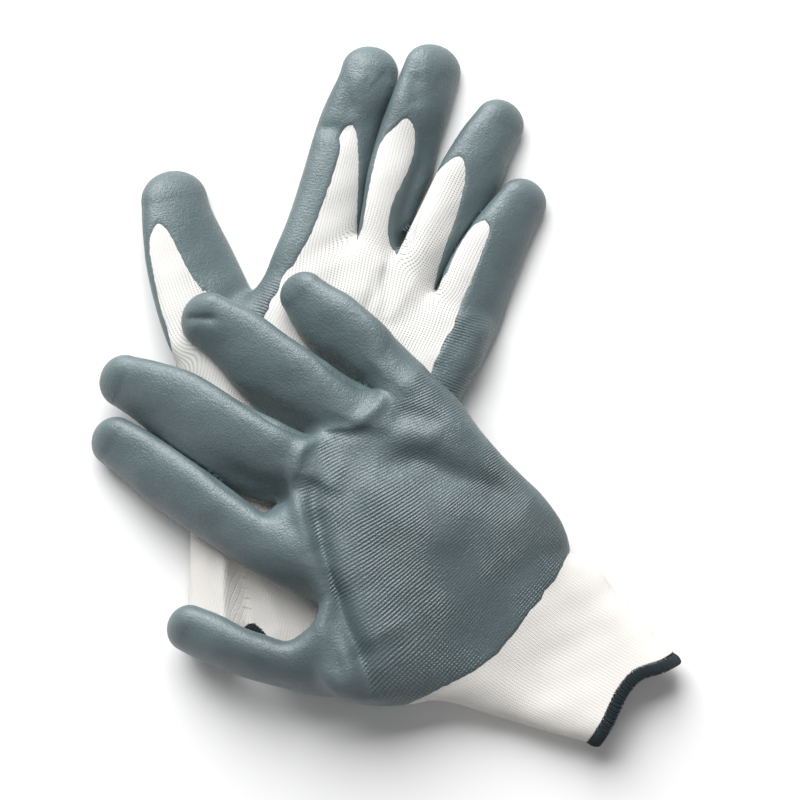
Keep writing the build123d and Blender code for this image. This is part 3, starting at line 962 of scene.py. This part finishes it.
def knit():
    """White jersey knit: columns of slanted loops, with pits between them where it is stretched, painted
    in as dark shade.
    """
    material = bpy.data.materials.new("knit_white")
    n = Nodes(material)
    u, v = n.knit_uv()
    spot = n.place()
    cell_u, cell_v = 1.25, 1.0
    across = n.math("ABSOLUTE", n.math("SUBTRACT", n.math("FRACT", n.math("DIVIDE", u, cell_u)), 0.5))
    slant = n.math("MULTIPLY_ADD", across, 1.1, n.math("DIVIDE", v, cell_v))
    loops = n.math("MULTIPLY_ADD", n.math("COSINE", n.math("MULTIPLY", slant, 2 * math.pi)), 0.5, 0.5)
    valley = n.ramp(n.math("SUBTRACT", 0.5, across), 0.0, 0.18)
    height = n.math("MULTIPLY", n.math("MULTIPLY_ADD", loops, 0.4, 0.6), valley)
    fuzz = n.noise(spot, 3200.0, 2.0, 0.6)
    first = n.bump(height, 0.55, 0.00026)
    second = n.bump(fuzz, 0.3, 0.00008, first)
    loose = n.math("MULTIPLY", n.ramp(n.noise(spot, 24.0, 2.0), 0.42, 0.62), n.attribute("rib"))
    stretched = n.math("MULTIPLY_ADD", loose, 0.9, 0.1)
    # Painted shade: the holes between the loops are dark grey spots of colour, not relief, most where the
    # knit is stretched.
    hole = n.math("MULTIPLY", n.wave(u, cell_u), n.math("SUBTRACT", 1.0, loops))
    painted_pit_shade = n.math("MULTIPLY", n.ramp(hole, 0.35, 0.85), stretched)
    yarn = n.mix(n.attribute("rib"), rgb(229, 226, 222), rgb(221, 220, 217))
    tone = n.mix(painted_pit_shade, yarn, rgb(132, 130, 127))
    n.feed(n.bsdf.inputs["Base Color"], tone)
    n.feed(n.bsdf.inputs["Roughness"], 0.86)
    n.feed(n.bsdf.inputs["Specular IOR Level"], 0.18)
    n.feed(n.bsdf.inputs["Sheen Weight"], 0.15)
    n.feed(n.bsdf.inputs["Normal"], second)
    return material


def thread(name, dark, light, rough):
    """A twisted thread of two close tones."""
    material = bpy.data.materials.new(name)
    n = Nodes(material)
    spot = n.place()
    strands = n.noise(spot, 2600.0, 2.0, 0.6)
    n.feed(n.bsdf.inputs["Base Color"], n.mix(n.ramp(strands, 0.35, 0.65), dark, light))
    n.feed(n.bsdf.inputs["Roughness"], rough)
    n.feed(n.bsdf.inputs["Specular IOR Level"], 0.25)
    n.feed(n.bsdf.inputs["Sheen Weight"], 0.2)
    n.feed(n.bsdf.inputs["Normal"], n.bump(strands, 0.4, 0.00008))
    return material


CAMERA_HEIGHT = 2.5  # above the table, in metres
SEEN_HEIGHT = 0.012  # the height that the camera is framed for
SEEN_WIDTH = 0.32  # how wide a view it has there


def stage():
    """A pale floor, soft light from beyond the fingers, and a camera overhead."""
    bpy.ops.mesh.primitive_plane_add(size=4)
    floor = bpy.context.object
    floor.name = "floor"
    paint = bpy.data.materials.new("floor")
    paint.use_nodes = True
    shader = paint.node_tree.nodes["Principled BSDF"]
    shader.inputs["Base Color"].default_value = (0.9, 0.9, 0.9, 1)
    shader.inputs["Roughness"].default_value = 0.9
    floor.data.materials.append(paint)

    world = bpy.data.worlds.new("studio")
    bpy.context.scene.world = world
    world.use_nodes = True
    world.node_tree.nodes["Background"].inputs["Color"].default_value = (1, 1, 1, 1)
    world.node_tree.nodes["Background"].inputs["Strength"].default_value = 0.12

    for name, spot, size, power in (("key", (-0.4, 1.48, 1.35), 1.8, 88.0),
                                    ("fill", (0.35, -0.5, 1.6), 1.2, 3.5)):
        light = bpy.data.lights.new(name, "AREA")
        light.size, light.energy = size, power
        lamp = bpy.data.objects.new(name, light)
        lamp.location = spot
        aim = bpy.data.objects.new(name + "_aim", None)
        bpy.context.scene.collection.objects.link(aim)
        lamp.constraints.new("TRACK_TO").target = aim
        bpy.context.scene.collection.objects.link(lamp)

    lens = bpy.data.cameras.new("camera")
    camera = bpy.data.objects.new("camera", lens)
    bpy.context.scene.collection.objects.link(camera)
    camera.location = ((7.2 + SHIFT[0]) / 1000, (-1.0 + SHIFT[1]) / 1000, CAMERA_HEIGHT)
    lens.sensor_width = 36
    lens.lens = lens.sensor_width * (CAMERA_HEIGHT - SEEN_HEIGHT) / SEEN_WIDTH
    bpy.context.scene.camera = camera
    bpy.context.scene.view_settings.view_transform = "Standard"


MATERIALS = {"nitrile": nitrile(), "knit": knit(),
             "elastic": thread("elastic_yarn", rgb(190, 187, 180), rgb(224, 221, 215), 0.85),
             "thread": thread("hem_thread", rgb(14, 26, 31), rgb(24, 40, 46), 0.8)}
build_glove("right", tubes_of(RIGHT, RIGHT_OUTLINE, RIGHT_FAN, RIGHT_LEAN), RIGHT_FOLDS,
            RIGHT_TROUGHS, RIGHT_EDGE, RIGHT_HEM, MATERIALS)
build_glove("left", tubes_of(LEFT, LEFT_OUTLINE, LEFT_FAN, LEFT_LEAN), LEFT_FOLDS,
            LEFT_TROUGHS, LEFT_EDGE, LEFT_HEM, MATERIALS)
stage()
